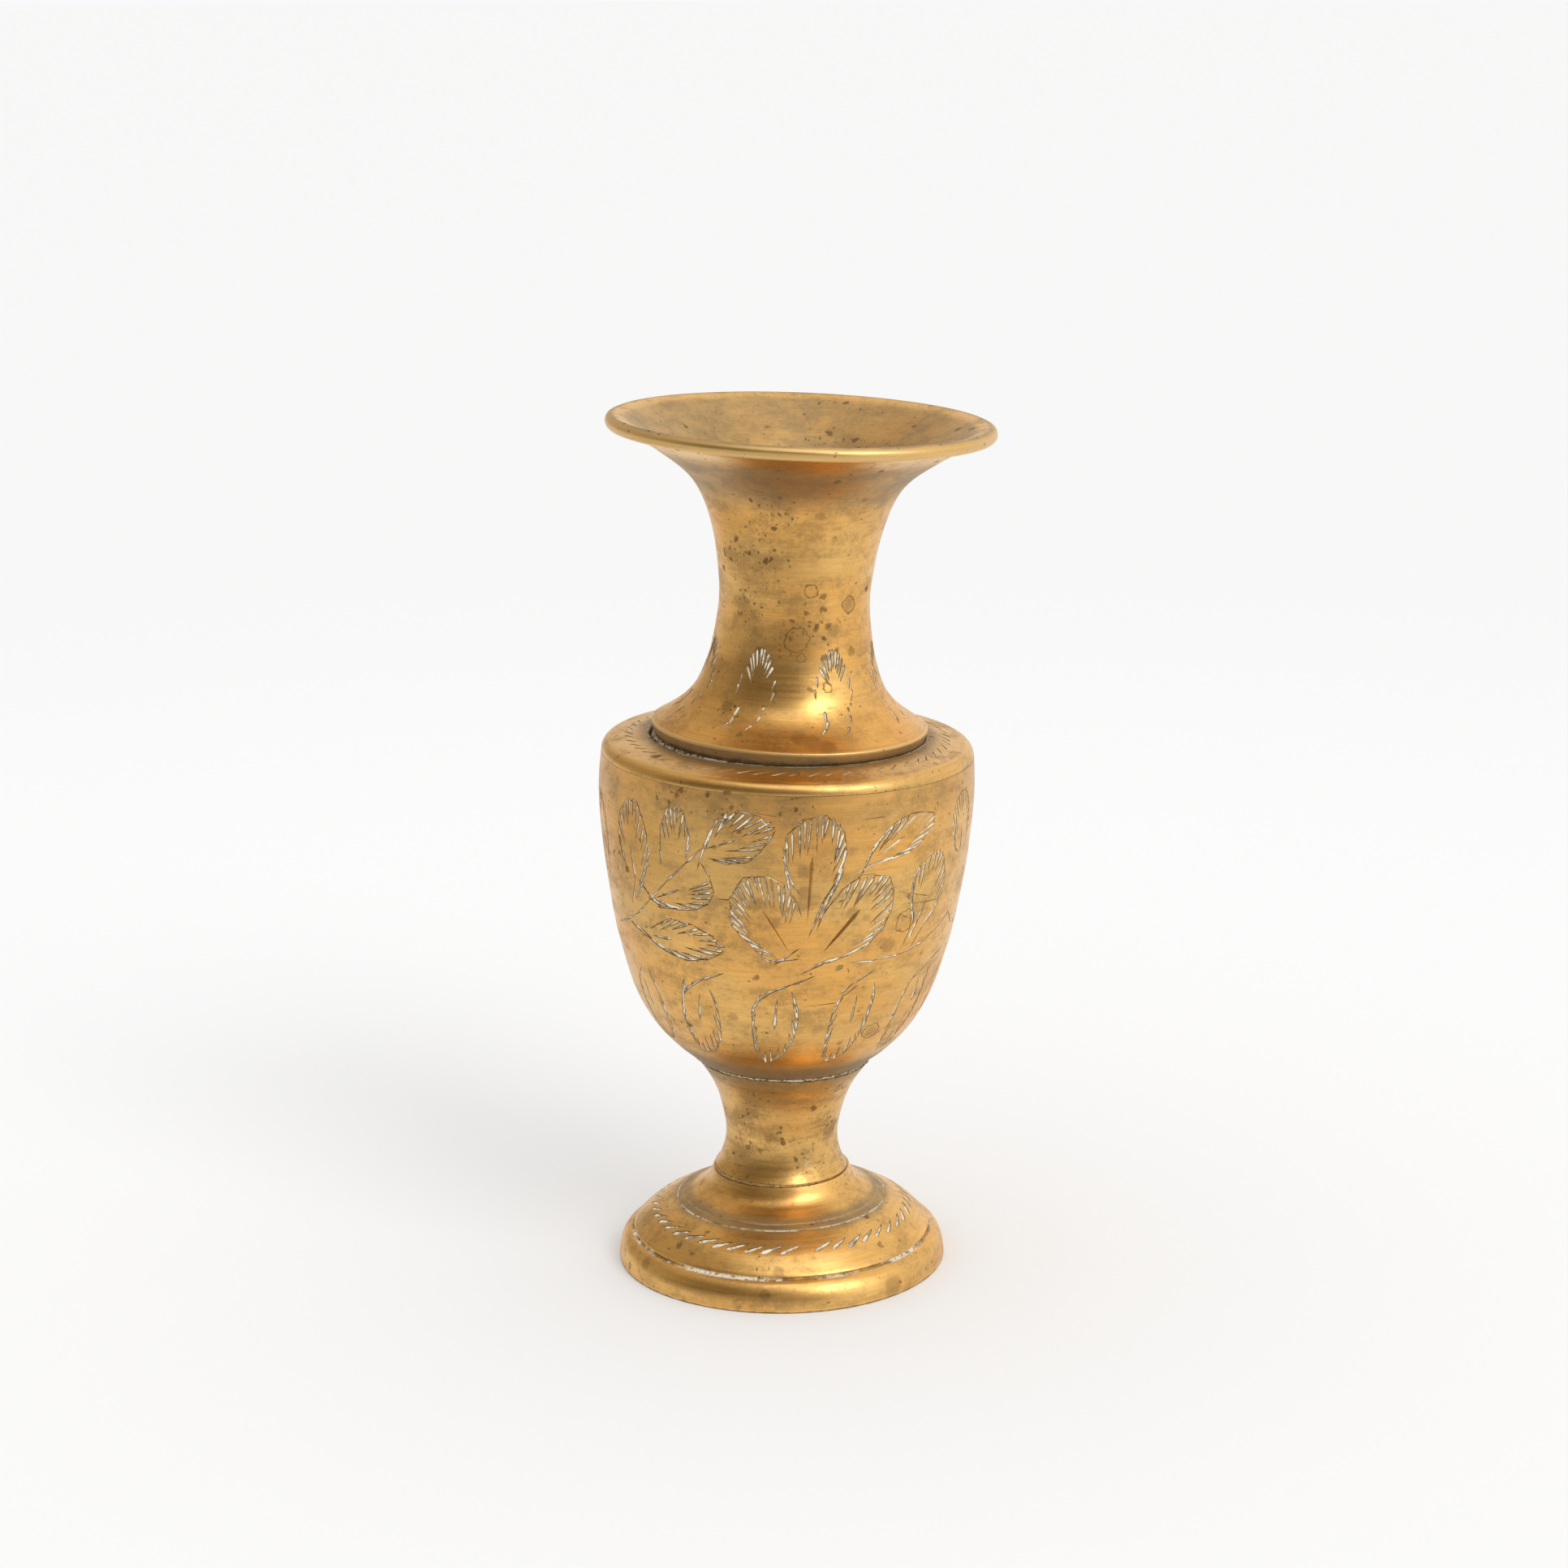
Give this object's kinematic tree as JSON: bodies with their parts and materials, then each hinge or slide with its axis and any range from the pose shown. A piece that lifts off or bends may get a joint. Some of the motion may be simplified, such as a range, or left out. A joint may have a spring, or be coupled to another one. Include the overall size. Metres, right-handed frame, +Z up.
{
  "type": "footed brass vase",
  "caption": "Hand-engraved brass vase on a waisted stem and hollow foot, with a deep tapering bowl, bell-shaped collar, narrow neck and wide beaded mouth, for standing flowers or water.",
  "frame": {"origin": "on the floor, under the centre of the whole vase's bounding box", "axes": "+Z up, towards the mouth; the bowl and the neck lean towards +X; -Y faces the viewer"},
  "size_m": [0.068, 0.0658, 0.15],
  "materials": {
    "foot_brass": "aged, turned and engraved",
    "stem_brass": "aged, turned",
    "bowl_brass": "aged, brushed and engraved",
    "shoulder_brass": "aged, turned and engraved",
    "neck_brass": "aged, brushed and engraved, dark spots",
    "solder": "dull, with pale residue"
  },
  "bodies": {
    "root": {"foot": "foot_brass", "stem": "stem_brass", "bowl": "bowl_brass", "shoulder": "shoulder_brass", "neck": "neck_brass", "foot_solder_seam": "solder", "bowl_solder_seam": "solder", "shoulder_solder_seam": "solder", "neck_solder_seam": "solder"}
  },
  "joints": []
}
